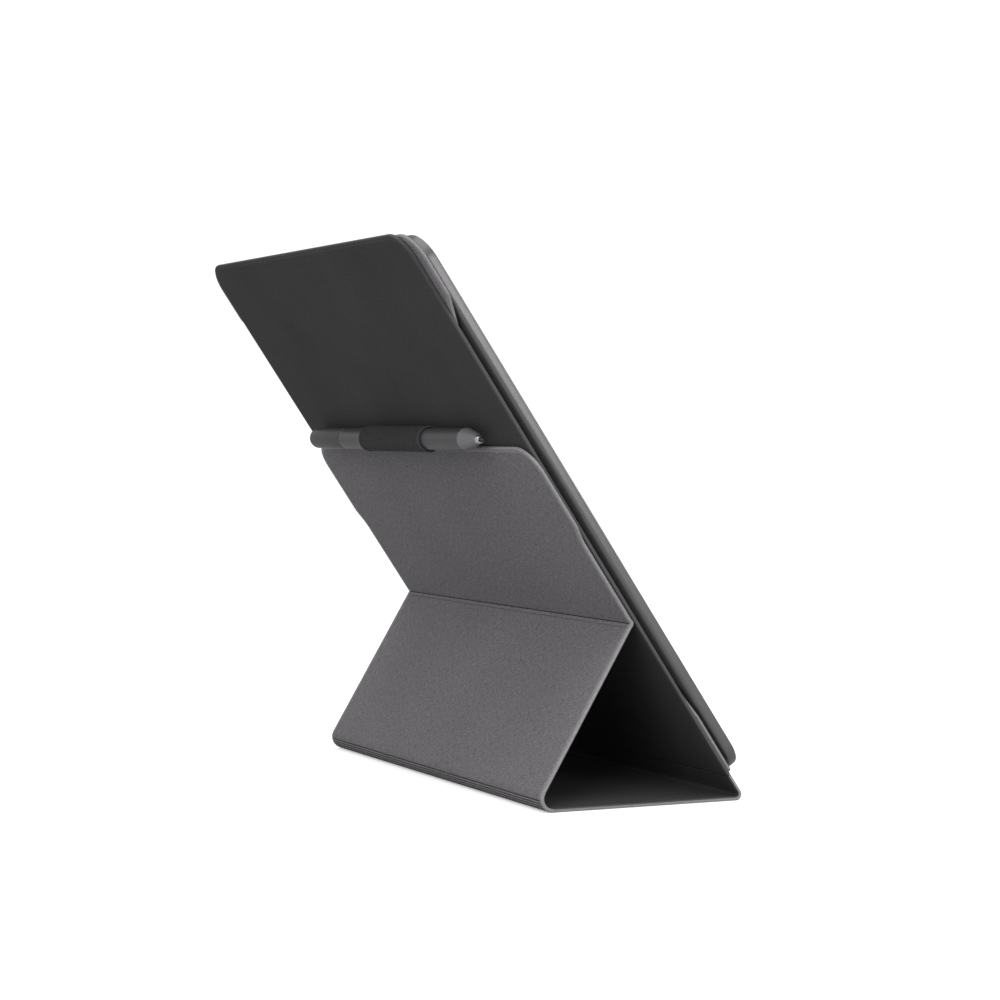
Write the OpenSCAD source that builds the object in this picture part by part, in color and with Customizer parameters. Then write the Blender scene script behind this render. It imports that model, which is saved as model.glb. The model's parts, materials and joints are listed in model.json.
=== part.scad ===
// Pen tablet standing upright on its folded case, seen with the display facing +X.
// +Z is up, +Y runs along the folds, the origin is the centre of the base panel's underside.

/* [Tablet] */
// Long side of the tablet, up the slope
tablet_l = 230; // [224:0.5:232]
// Short side of the tablet, along the folds
tablet_w = 196; // [190:0.5:196]
// Thickness of the tablet
tablet_t = 5.8; // [5.8:0.1:6.4]
// Radius of the tablet's corners in plan
tablet_corner_r = 10; // [8:1:16]
// Lit area of the display, up the slope
display_l = 208; // [200:1:208]
// Lit area of the display, along the folds
display_w = 156; // [150:1:156]
// How far the display sits from the middle, away from the grip border
display_shift = 10; // [6:1:10]

/* [Case] */
// Angle of the back panel from the table
tilt = 55.6; // [50:0.2:60]
// Width of the panels, along the folds
panel_w = 199; // [198:0.5:201]
// Width of the flap at its free end
wide_w = 204; // [202:0.5:206]
// Width of the mounting plate at its upper end
plate_w = 210; // [204:0.5:212]
// Thickness of one laminated panel
panel_t = 1.4; // [1.3:0.05:1.6]
// Length from the floor corner to the top of the back panel
back_l = 245; // [243:0.5:250]
// Distance between the two floor corners
base_l = 88; // [84:1:92]
// Distance from the floor corner to the fold that the strut leans with
strut_s = 82; // [78:1:84]
// Distance from the floor corner to the free edge of the flap
flap_s = 157.6; // [150:0.2:160]
// Width of the spine
spine_l = 12; // [11.5:0.1:13]
// Corner radius of the back panel
back_corner_r = 11; // [8:1:16]
// Corner radius of the flap
flap_corner_r = 11; // [6:1:14]

/* [Folds] */
// Outer radius of the wide fold between base and strut
wide_fold_r = 5; // [4:0.25:6]
// Outer radius of the fold between base and spine
spine_fold_r = 2.2; // [1.8:0.1:2.6]
// Number of grooves pressed along the wide fold
groove_count = 4; // [2:1:5]

/* [Pen] */
// Length of the pen
pen_l = 162.8; // [162:0.2:164]
// Diameter of the pen
pen_d = 8.3; // [8:0.1:9]
// Length of the loop that holds the pen
loop_l = 58.6; // [50:0.2:60]

/* [Hidden] */

$fn = 48;
lining_t = 0.35;       // dark microfibre on the inner side
skin_t = 0.4;          // grey woven cloth on the outer side
turn_in = 0.5;         // cloth turned over a panel's edge
fold_gap = 0.4;        // from a crease to the panel on either side
flap_gap = 0.7;        // the same at the fold between strut and flap, on the flap's side
strut_gap = 1.1;       // and on the strut's side
crease_r = 0.15;       // pressed line along the upper fold of the spine
face_gap = 0.3;        // air between the flap and the back panel
over = 0.5;            // cutters reach past the face they cut

corner_x = base_l / 2;
board_t = panel_t - skin_t - lining_t;
half = panel_w / 2;
wide_half = wide_w / 2;

// The flap lies against the back panel, and the strut meets it at the flap's outer face
flap_h = -2 * panel_t - face_gap;
up = [-cos(tilt), sin(tilt)];
out = [sin(tilt), cos(tilt)];
fold_pt = [corner_x, 0] + strut_s * up + flap_h * out;
strut_angle = atan2(fold_pt[1], fold_pt[0] + corner_x);
strut_l = norm(fold_pt + [corner_x, 0]);

// A rounded fold leaves the corner at its tangent points
wide_tan = wide_fold_r / tan(strut_angle / 2);
spine_tan = spine_fold_r / tan(tilt / 2);
base_x0 = -corner_x + wide_tan;
base_x1 = corner_x - spine_tan;

// Mounting plate between the back panel and the tablet
plate_skin = 0.3;
plate_board_t = 0.5;
plate_t = 2 * plate_skin + plate_board_t;
plate_s0 = spine_l + 0.6;
plate_s1 = back_l - 1.3;
plate_end = 25;        // length of the wide stretch at each end
plate_jog = 15;        // length of the slanted step
plate_foot = 99.3;     // half width of the lower end
plate_waist = 95;      // half width between the ends
plate_corner_r = 11;

// Tablet, measured from its back face (h) and its middle (y, z)
foot_t = 0.2;
tablet_h0 = plate_t + 0.05 + foot_t;
tablet_s0 = 10.3;
tablet_mid = tablet_s0 + tablet_l / 2;
edge_inset = 5;        // the back face is this much smaller all round
edge_rise = 3;         // height of the rounded back edge
front_round = 0.8;
back_wall = 0.9;
glass_t = 0.7;
glass_h = tablet_t - glass_t - 0.05;
glass_inset = 1.3;
cavity_inset = 1.25;
floor_inset = 3.2;     // the lower part of the cavity is smaller
cavity_step = 3;
frame_h = 3.7;
frame_t = 0.4;
boss_r = 2;
boss_at = [for (y = [-92, 92], z = [-105, -38, 38, 105]) [y, z]];
screw_r = 0.5;
screw_head_r = 1.1;
thread_h = back_wall + 0.6;
port_z = -20;
port_h = 2.5;
button_z = 24;
button_l = 12;
button_w = 1.7;
button_h = 3.95;
board_y = [57, 89.5];
board_z = [-60, 60];
board_h = 1.3;

// Pen, measured from its middle towards the nib
pen_r = pen_d / 2;
pen_bore = 3.3;
pen_s = 164;
pen_h = -panel_t - 0.5 - 0.8 - pen_r - 0.05;
pen_y = 0.95;
cone_z = 67.35;
cone_end = 76.95;
ferrule_end = 79.2;
cap_z = -46.55;
cap_gap = 0.6;
loop_wall = 0.78;
loop_fit = 0.07;
loop_y0 = -34;
tongue_y = [-24, 18];   // where the loop's tongue is glued to the flap
side_z = 49;
side_l = 14;
side_w = 3;

// ---- frames and outlines ----

// Puts +Z up the back panel and +X out of its cloth side
module on_back() { translate([corner_x, 0, 0]) rotate([0, tilt - 90, 0]) children(); }

module on_strut() { translate([-corner_x, 0, 0]) rotate([0, 90 - strut_angle, 0]) children(); }

module on_tablet() { on_back() translate([tablet_h0, 0, tablet_mid]) children(); }

// +Z runs to the nib and +X faces the back panel
module on_pen() { on_back() translate([pen_h, pen_y, pen_s]) rotate([90, 0, 0]) children(); }

// Stands a (y, z) outline up and gives it the thickness from h0 to h1
module slab(h0, h1) { translate([h0, 0, 0]) rotate([90, 0, 90]) linear_extrude(h1 - h0) children(); }

module rounded(w, l, r) {
    square([w - 2 * r, l], center = true);
    square([w, l - 2 * r], center = true);
    for (y = [-1, 1], z = [-1, 1]) translate([y * (w / 2 - r), z * (l / 2 - r)]) circle(r);
}

// A strip across the panel with its two upper corners rounded
module round_top(half_w, z0, z1, r) {
    translate([-half_w, z0]) square([2 * half_w, z1 - r - z0]);
    translate([r - half_w, z1 - r]) square([2 * (half_w - r), r]);
    for (side = [-1, 1]) translate([side * (half_w - r), z1 - r]) circle(r);
}

module strip(half_w, z0, z1) { translate([-half_w, z0]) square([2 * half_w, z1 - z0]); }

// A slanted step between two widths
module step(half_0, z0, half_1, z1) {
    polygon([[-half_0, z0], [half_0, z0], [half_1, z1], [-half_1, z1]]);
}

module back_outline(inset = 0) {
    round_top(half - inset, spine_l + fold_gap + inset, back_l - inset, back_corner_r - inset);
}

module flap_outline(inset = 0) {
    jog = [117.6, 123.7];
    strip(half - inset, strut_s + flap_gap + inset, jog[0]);
    step(half - inset, jog[0], wide_half - inset, jog[1]);
    round_top(wide_half - inset, jog[1], flap_s - inset, flap_corner_r - inset);
}

module plate_outline(inset = 0) {
    low = plate_s0 + plate_end;
    high = plate_s1 - plate_end;
    strip(plate_foot - inset, plate_s0 + inset, low);
    step(plate_foot - inset, low, plate_waist - inset, low + plate_jog);
    strip(plate_waist - inset, low + plate_jog, high - plate_jog);
    step(plate_waist - inset, high - plate_jog, plate_w / 2 - inset, high);
    round_top(plate_w / 2 - inset, high, plate_s1 - inset, plate_corner_r - inset);
}

module strut_outline(inset = 0) {
    strip(half - inset, wide_tan + inset, strut_l - strut_gap - inset);
}

module spine_outline(inset = 0) {
    strip(half - inset, spine_tan + inset, spine_l - fold_gap - inset);
}

module base_outline(inset = 0) {
    translate([base_x0 + inset, inset - half]) square([base_x1 - base_x0 - 2 * inset, 2 * (half - inset)]);
}

module tablet_outline(inset = 0) {
    rounded(tablet_w - 2 * inset, tablet_l - 2 * inset, tablet_corner_r - inset);
}

// Ring of cloth round a fold: from angle a0 to a1 about the fold's centre, in the XZ plane
module fold_ring(centre, r_out, a0, a1) {
    reach = 3 * r_out;
    translate([centre[0], half, centre[1]]) rotate([90, 0, 0]) linear_extrude(panel_w) intersection() {
        difference() {
            circle(r_out);
            circle(r_out - panel_t);
            children();
        }
        polygon([[0, 0], for (i = [0:4]) let (a = a0 + (a1 - a0) * i / 4) reach * [cos(a), sin(a)]]);
    }
}

// Places of the magnets that hold the flap to the back panel
module flap_magnet_spots() { for (y = [-70, 0, 70], z = [96, 140]) translate([y, z]) children(); }

// Places of the magnets that hold the tablet to the plate, from the tablet's middle
module tablet_magnet_spots() { for (y = [-60, 0, 60], z = [-106, 106]) translate([y, z]) children(); }

module bar(w, l) { square([w, l], center = true); }

// ---- case: base panel ----

module base_fabric() {
    color("dimgray") difference() {
        linear_extrude(panel_t - lining_t) base_outline();
        translate([0, 0, skin_t]) linear_extrude(panel_t) base_outline(turn_in);
    }
}

module base_board() {
    color("tan") translate([0, 0, skin_t]) linear_extrude(board_t) base_outline(turn_in);
}

module base_lining() {
    color([0.17, 0.17, 0.17]) translate([0, 0, panel_t - lining_t]) linear_extrude(lining_t) base_outline();
}

// The wide fold, with grooves pressed into its outer side
module hinge_base() {
    first = 90 + strut_angle;
    color("dimgray") fold_ring([base_x0, wide_fold_r], wide_fold_r, first, 270)
        for (i = [1:groove_count]) rotate(first + (270 - first) * i / (groove_count + 1))
            translate([wide_fold_r, 0]) circle(0.3, $fn = 16);
}

// ---- case: spine ----

module spine_fabric() {
    color("dimgray") on_back() difference() {
        slab(lining_t - panel_t, 0) spine_outline();
        slab(-panel_t, -skin_t) spine_outline(turn_in);
    }
}

module spine_board() { color("tan") on_back() slab(-skin_t - board_t, -skin_t) spine_outline(turn_in); }

module spine_lining() {
    color([0.17, 0.17, 0.17]) on_back() slab(-panel_t, lining_t - panel_t) spine_outline();
}

module hinge_spine_low() {
    color("dimgray") fold_ring([base_x1, spine_fold_r], spine_fold_r, -90, 90 - tilt);
}

// ---- case: back panel ----

module back_fabric() {
    color("dimgray") on_back() difference() {
        slab(lining_t - panel_t, 0) back_outline();
        slab(-panel_t, -skin_t) back_outline(turn_in);
    }
}

module back_board() {
    color("tan") on_back() difference() {
        slab(-skin_t - board_t, -skin_t) back_outline(turn_in);
        slab(-panel_t, 0) flap_magnet_spots() bar(18, 8);
    }
}

module back_lining() {
    color([0.17, 0.17, 0.17]) on_back() slab(-panel_t, lining_t - panel_t) back_outline();
}

// Thin cloth between spine and back panel, with a crease pressed along the fold
module hinge_spine_high() {
    color("dimgray") on_back() difference() {
        slab(-skin_t, 0) strip(half, spine_l - fold_gap, spine_l + fold_gap);
        translate([0, half + over, spine_l]) rotate([90, 0, 0])
            cylinder(h = panel_w + 2 * over, r = crease_r);
    }
}

// Steel strips in the back panel that the flap's magnets pull on
module flap_keepers() {
    color("silver") on_back() slab(-skin_t - board_t, -skin_t) flap_magnet_spots() bar(18, 8);
}

// ---- case: mounting plate ----

module plate_fabric() {
    color("gray") on_back() difference() {
        slab(0, plate_t - plate_skin) plate_outline();
        slab(plate_skin, plate_t) plate_outline(turn_in);
    }
}

module plate_board() {
    color("tan") on_back() difference() {
        slab(plate_skin, plate_skin + plate_board_t) plate_outline(turn_in);
        slab(0, plate_t) translate([0, tablet_mid]) tablet_magnet_spots() bar(20, 5);
    }
}

module plate_lining() {
    color([0.2, 0.2, 0.2]) on_back() slab(plate_t - plate_skin, plate_t) plate_outline();
}

module plate_magnets() {
    color("silver") on_back() slab(plate_skin, plate_skin + plate_board_t)
        translate([0, tablet_mid]) tablet_magnet_spots() bar(20, 5);
}

// ---- case: strut and flap ----

module strut_fabric() {
    color("dimgray") on_strut() difference() {
        slab(0, panel_t - lining_t) strut_outline();
        slab(skin_t, panel_t) strut_outline(turn_in);
    }
}

module strut_board() { color("tan") on_strut() slab(skin_t, skin_t + board_t) strut_outline(turn_in); }

module strut_lining() {
    color([0.17, 0.17, 0.17]) on_strut() slab(panel_t - lining_t, panel_t) strut_outline();
}

module flap_fabric() {
    color("dimgray") on_back() difference() {
        slab(flap_h, flap_h + panel_t - lining_t) flap_outline();
        slab(flap_h + skin_t, flap_h + panel_t) flap_outline(turn_in);
    }
}

module flap_board() {
    color("tan") on_back() difference() {
        slab(flap_h + skin_t, flap_h + skin_t + board_t) flap_outline(turn_in);
        slab(flap_h, 0) flap_magnet_spots() bar(16, 6);
    }
}

module flap_lining() {
    color([0.17, 0.17, 0.17]) on_back() slab(flap_h + panel_t - lining_t, flap_h + panel_t) flap_outline();
}

module flap_magnets() {
    color("silver") on_back() slab(flap_h + skin_t, flap_h + skin_t + board_t) flap_magnet_spots() bar(16, 6);
}

// Thin cloth in the crease between strut and flap, rounded about the fold's own line
module hinge_flap() {
    along = [cos(strut_angle), sin(strut_angle)];
    across = [sin(strut_angle), -cos(strut_angle)];
    low = -strut_gap * along;
    high = flap_gap * up;
    wedge = 2 * skin_t;
    color("dimgray") translate([0, half, 0]) rotate([90, 0, 0]) linear_extrude(panel_w) translate(fold_pt) {
        polygon([low, [0, 0], skin_t * across, low + skin_t * across]);
        polygon([[0, 0], high, high + skin_t * out, skin_t * out]);
        intersection() {
            circle(skin_t);
            polygon([[0, 0], wedge * across, wedge * (across + out), wedge * out]);
        }
    }
}

// Sleeve round the pen with a tongue that is glued to the flap's free edge
module pen_loop() {
    inner = pen_r + loop_fit;
    outer = inner + loop_wall;
    tongue = 0.8;
    tongue_h = flap_h + panel_t - tongue - 0.1;
    color([0.19, 0.19, 0.2]) on_back() rotate([90, 0, 0]) difference() {
        union() {
            translate([pen_h, pen_s, -loop_y0 - loop_l]) cylinder(h = loop_l, r = outer);
            translate([tongue_h, flap_s, -tongue_y[1]])
                cube([tongue, pen_s - flap_s, tongue_y[1] - tongue_y[0]]);
        }
        translate([pen_h, pen_s, -loop_y0 - loop_l - over]) cylinder(h = loop_l + 2 * over, r = inner);
    }
}

// ---- tablet: shell ----

// Half section of the rim: x is the distance outwards, y the height from the back face
module rim_section() {
    r = tablet_corner_r;
    steps = 10;
    back_edge = [for (i = [0:steps]) let (a = 90 * i / steps)
        [r - edge_inset + edge_inset * sin(a), edge_rise * (1 - cos(a))]];
    front_edge = [for (i = [0:4]) let (a = 90 * i / 4)
        [r - front_round * (1 - cos(a)), tablet_t - front_round * (1 - sin(a))]];
    polygon([[0, 0], each back_edge, each front_edge, [0, tablet_t]]);
}

// Carries the rim section round the tablet's outline and fills the middle
module tablet_body() {
    w = tablet_w / 2 - tablet_corner_r;
    l = tablet_l / 2 - tablet_corner_r;
    slab(0, tablet_t) square([2 * w, 2 * l], center = true);
    rotate([90, 0, 90]) {
        for (y = [-1, 1], z = [-1, 1]) translate([y * w, z * l, 0])
            rotate([0, 0, atan2(z, y) - 45]) rotate_extrude(angle = 90) rim_section();
        for (side = [0, 180]) rotate([0, 0, side]) {
            translate([w, l, 0]) rotate([90, 0, 0]) linear_extrude(2 * l) rim_section();
            translate([-w, l, 0]) rotate([90, 0, 90]) linear_extrude(2 * w) rim_section();
        }
    }
}

// Outline with round ends, l long and w wide, standing along the second axis
module pill(l, w) {
    for (z = [-1, 1]) translate([0, z * (l - w) / 2]) circle(w / 2, $fn = 32);
    bar(w, l - w);
}

// A pill-shaped prism through the rim on the +Y side: centre height h, place z, from y0 to y1
module side_pill(h, z, l, w, y0, y1) {
    translate([h, y1, z]) rotate([90, 0, 0]) linear_extrude(y1 - y0) pill(l, w);
}

module back_housing() {
    color([0.42, 0.42, 0.43]) on_tablet() difference() {
        union() {
            difference() {
                tablet_body();
                slab(cavity_step, tablet_t + over) tablet_outline(cavity_inset);
                slab(back_wall, tablet_t) tablet_outline(floor_inset);
            }
            slab(back_wall, frame_h) for (p = boss_at) translate(p) circle(boss_r);
        }
        slab(thread_h, frame_h + over) for (p = boss_at) translate(p) circle(screw_r + 0.05, $fn = 24);
        side_pill(port_h, port_z, 9.1, 3.3, 90, 99);
        side_pill(button_h, button_z, button_l + 0.3, button_w + 0.3, 95, 99);
    }
}

module mid_frame() {
    color([0.25, 0.25, 0.27]) on_tablet() difference() {
        slab(frame_h, frame_h + frame_t) tablet_outline(1.5);
        slab(frame_h - over, frame_h + 1) for (p = boss_at) translate(p)
            circle(screw_head_r + 0.1, $fn = 24);
        // lightening windows over the two cells
        slab(frame_h - over, frame_h + 1) for (y = [-72, -36, 0, 32], z = [-72, -24, 24, 72])
            translate([y, z]) square([20, 34], center = true);
        // clearance for the port, and the slot that the ribbon passes
        slab(frame_h - over, frame_h + 1) translate([94.5, port_z]) square([9, 11], center = true);
        slab(frame_h - over, frame_h + 1) translate([76.2, 0]) square([4, 30], center = true);
    }
}

module cover_glass() {
    color([0.8, 0.82, 0.84, 0.35]) on_tablet() slab(glass_h, glass_h + glass_t) tablet_outline(glass_inset);
}

module glass_seal() {
    color([0.1, 0.1, 0.1]) on_tablet() slab(frame_h + frame_t, glass_h - 0.1) difference() {
        tablet_outline(1.5);
        tablet_outline(2.8);
    }
}

module bezel_mask() {
    color([0.16, 0.16, 0.17]) on_tablet() slab(glass_h - 0.1, glass_h) difference() {
        tablet_outline(1.5);
        translate([-display_shift, 0]) square([display_w, display_l], center = true);
    }
}

// A sheet of the display stack, larger than the lit area by margin on each side
module display_sheet(h0, h1, margin) {
    on_tablet() slab(h0, h1) translate([-display_shift, 0])
        square([display_w + 2 * margin, display_l + 2 * margin], center = true);
}

module light_guide() { color([0.85, 0.88, 0.9, 0.5]) display_sheet(4.8, 4.95, 3); }

module epaper_panel() { color([0.82, 0.82, 0.79]) display_sheet(4.35, 4.8, 3); }

module digitizer_sheet() { color([0.15, 0.3, 0.2]) display_sheet(4.12, 4.35, 4.5); }

// Strip of small lamps that light the guide from its lower edge
module led_bar() {
    color("whitesmoke") on_tablet() translate([0, -display_shift, -display_l / 2 - 5.2]) {
        translate([4.4, -75, -1]) cube([0.15, 150, 2]);
        for (i = [-9:9]) translate([4.55, i * 7.6 - 1.2, 0]) cube([0.35, 2.4, 1]);
    }
}

// Ribbon from the display's grip side down through the frame to the main board
module display_flex() {
    edge = display_w / 2 + 3 - display_shift;
    color([0.75, 0.5, 0.15]) on_tablet() translate([0, 0, -12]) linear_extrude(24) polygon([
        [4.45, edge], [4.6, edge], [4.6, 76.2], [3.35, 76.2],
        [3.35, 66], [3.5, 66], [3.5, 76.05], [4.45, 76.05]
    ]);
}

// ---- tablet: inside ----

module battery_cells() {
    color([0.62, 0.63, 0.65]) on_tablet() for (y = [-88, -18])
        slab(0.95, 3.55) translate([y + 34, 0]) rounded(68, 196, 3);
}

module main_board() {
    color([0.07, 0.25, 0.16]) on_tablet() slab(board_h, board_h + 0.8)
        translate([board_y[0], board_z[0]]) square([board_y[1] - board_y[0], board_z[1] - board_z[0]]);
}

module board_shields() {
    color("silver") on_tablet() for (z = [-52, -14, 24])
        slab(board_h + 0.8, board_h + 2) translate([board_y[0] + 3, z]) square([24, 30]);
}

// Steel sleeve of the charging socket with the contact tongue inside it
module usb_c_port() {
    color([0.7, 0.7, 0.72]) on_tablet() difference() {
        side_pill(port_h, port_z, 8.9, 3.15, 90.4, 97.4);
        difference() {
            side_pill(port_h, port_z, 8.3, 2.5, 91, 98);
            translate([port_h - 0.35, 90, port_z - 3.3]) cube([0.7, 6.4, 6.6]);
        }
    }
}

module power_button() {
    color([0.3, 0.3, 0.31]) on_tablet() side_pill(button_h, button_z, button_l, button_w, 96.95, 98.3);
}

module power_switch() {
    color([0.8, 0.75, 0.5]) on_tablet() translate([3.02, 93.8, button_z - 3]) cube([0.62, 2.7, 6]);
}

module housing_screws() {
    color("silver") on_tablet() {
        slab(2, frame_h) for (p = boss_at) translate(p) circle(screw_r, $fn = 24);
        slab(frame_h, frame_h + 0.36) for (p = boss_at) translate(p) circle(screw_head_r, $fn = 24);
    }
}

module tablet_magnets() {
    color("silver") on_tablet() slab(0.95, 2.5) tablet_magnet_spots() bar(20, 5);
}

module rubber_feet() {
    color([0.12, 0.12, 0.12]) on_tablet() slab(-foot_t, 0) for (y = [-72, 72], z = [-98, 98])
        translate([y, z]) rounded(22, 5, 2.4);
}

// ---- pen ----

// The side button's outline, pushed through the barrel's +X side from x = at
module side_pad(at, l, w, depth) {
    translate([at, 0, side_z]) rotate([0, 90, 0]) linear_extrude(depth) rotate(90) pill(l, w);
}

module pen_barrel() {
    color([0.3, 0.3, 0.31]) on_pen() difference() {
        translate([0, 0, cap_z]) cylinder(h = cone_z - cap_z, r = pen_r);
        translate([0, 0, cap_z - over]) cylinder(h = cone_z - cap_z + 2 * over, r = pen_bore);
        side_pad(2, side_l + 0.4, side_w + 0.4, pen_r);
    }
}

// Tapered front with a soft shoulder
module pen_cone() {
    steps = 8;
    tip_r = 1.75;
    side = [for (i = [0:steps]) let (k = i / steps)
        [tip_r + (pen_r - tip_r) * (1 - k) * (1 + 0.35 * k), cone_z + (cone_end - cone_z) * k]];
    color([0.44, 0.44, 0.45]) on_pen() rotate_extrude() difference() {
        polygon([[0, cone_z], each side, [0, cone_end]]);
        square([1, cone_end + over]);
        polygon([
            [0, cone_z - over], [pen_bore, cone_z - over], [pen_bore, cone_z],
            [1, cone_z + 5], [0, cone_z + 5]
        ]);
    }
}

module pen_ferrule() {
    color([0.75, 0.75, 0.76]) on_pen() translate([0, 0, cone_end]) difference() {
        cylinder(h = ferrule_end - cone_end, r = 1.6);
        translate([0, 0, -over]) cylinder(h = 5, r = 1);
    }
}

module pen_nib() {
    tip = pen_l / 2;
    nib_r = 0.8;
    color([0.15, 0.15, 0.15]) on_pen() {
        translate([0, 0, 50]) cylinder(h = tip - nib_r - 50, r = nib_r);
        translate([0, 0, tip - nib_r]) sphere(nib_r, $fn = 32);
    }
}

module pen_end_cap() {
    end = -pen_l / 2;
    color([0.3, 0.3, 0.31]) on_pen() {
        translate([0, 0, end + pen_r]) cylinder(h = cap_z - cap_gap - end - pen_r, r = pen_r);
        translate([0, 0, end + pen_r]) sphere(pen_r);
        translate([0, 0, cap_z - cap_gap]) cylinder(h = 8, r = 2.6);
    }
}

module pen_side_button() {
    color([0.25, 0.25, 0.26]) on_pen() intersection() {
        side_pad(3.35, side_l, side_w, 2);
        cylinder(h = pen_l, r = pen_r + 0.2, center = true);
    }
}

module pen_coil() {
    color([0.72, 0.42, 0.2]) on_pen() translate([0, 0, 50]) difference() {
        cylinder(h = 14, r = 2.7);
        translate([0, 0, -over]) cylinder(h = 16, r = 0.95);
    }
}

module pen_board() { color([0.07, 0.25, 0.16]) on_pen() translate([-1.4, -2.3, -36]) cube([0.8, 4.6, 76]); }

base_fabric();
base_board();
base_lining();
hinge_base();
spine_fabric();
spine_board();
spine_lining();
hinge_spine_low();
back_fabric();
back_board();
back_lining();
hinge_spine_high();
plate_fabric();
plate_board();
plate_lining();
plate_magnets();
flap_keepers();
strut_fabric();
strut_board();
strut_lining();
flap_fabric();
flap_board();
flap_lining();
flap_magnets();
hinge_flap();
pen_loop();
back_housing();
mid_frame();
cover_glass();
glass_seal();
bezel_mask();
light_guide();
led_bar();
epaper_panel();
digitizer_sheet();
display_flex();
battery_cells();
main_board();
board_shields();
usb_c_port();
power_button();
power_switch();
housing_screws();
tablet_magnets();
rubber_feet();
pen_barrel();
pen_cone();
pen_ferrule();
pen_nib();
pen_end_cap();
pen_side_button();
pen_coil();
pen_board();
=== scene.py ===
import json
import math
import bmesh
import bpy
from mathutils import Matrix, Vector


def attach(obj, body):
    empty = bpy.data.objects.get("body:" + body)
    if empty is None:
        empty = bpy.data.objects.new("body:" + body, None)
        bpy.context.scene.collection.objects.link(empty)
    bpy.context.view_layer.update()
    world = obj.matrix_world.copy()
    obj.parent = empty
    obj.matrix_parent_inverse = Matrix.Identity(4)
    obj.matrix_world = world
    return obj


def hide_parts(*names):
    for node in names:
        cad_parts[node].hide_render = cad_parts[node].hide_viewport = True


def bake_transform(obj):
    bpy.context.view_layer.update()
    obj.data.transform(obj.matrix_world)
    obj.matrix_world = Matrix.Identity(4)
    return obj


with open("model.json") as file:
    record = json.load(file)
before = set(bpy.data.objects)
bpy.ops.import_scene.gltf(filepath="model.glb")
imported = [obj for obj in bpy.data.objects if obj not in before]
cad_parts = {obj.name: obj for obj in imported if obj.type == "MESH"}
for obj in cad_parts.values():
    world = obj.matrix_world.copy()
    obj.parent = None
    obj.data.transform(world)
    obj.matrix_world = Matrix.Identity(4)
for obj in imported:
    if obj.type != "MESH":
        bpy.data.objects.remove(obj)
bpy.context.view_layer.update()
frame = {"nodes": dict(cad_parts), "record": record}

mm = 0.001

# Camera, floor and light

viewpoint = {"place": (-0.42817, -0.87592, 0.13276), "yaw": 25.559, "pitch": -1.485, "roll": 0.3335, "lens": 89.18}


def addCamera(v):
    yaw, pitch, roll = (math.radians(v[k]) for k in ("yaw", "pitch", "roll"))
    ahead = Vector((math.sin(yaw) * math.cos(pitch), math.cos(yaw) * math.cos(pitch), math.sin(pitch)))
    right = ahead.cross(Vector((0, 0, 1))).normalized()
    upright = right.cross(ahead)
    tiltedRight = right * math.cos(roll) + upright * math.sin(roll)
    tiltedUp = upright * math.cos(roll) - right * math.sin(roll)
    data = bpy.data.cameras.new("camera")
    data.lens, data.sensor_width = v["lens"], 36
    data.clip_start, data.clip_end = 0.01, 20
    camera = bpy.data.objects.new("camera", data)
    bpy.context.collection.objects.link(camera)
    turn = Matrix((tiltedRight, tiltedUp, -ahead)).transposed().to_4x4()
    camera.matrix_world = Matrix.Translation(Vector(v["place"])) @ turn
    bpy.context.scene.camera = camera


studio = {
    "world": 0.6,
    "backdrop": 1.1,  # how bright the wall behind looks
    "floorWhite": 0.95,
    "floorBounce": 0.5,  # what it sends back up to the object
    "floorLift": 0.45,  # keeps the paper white far from the lights
    "floorSize": 8.0,
    "softboxes": {  # place, what it points at, size in metres, watts
        "overhead": ((0.1, -0.2, 1.9), (0, 0, 0), 2.2, 20),
        "key": ((-1.25, -1.35, 1.05), (0, 0, 0.1), 1.2, 19),
        "front": ((0.6, -2.0, 0.5), (0, 0, 0.1), 0.9, 8),
        "side": ((1.5, -0.9, 0.8), (0, 0, 0.1), 0.8, 5),
    },
}


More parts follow.
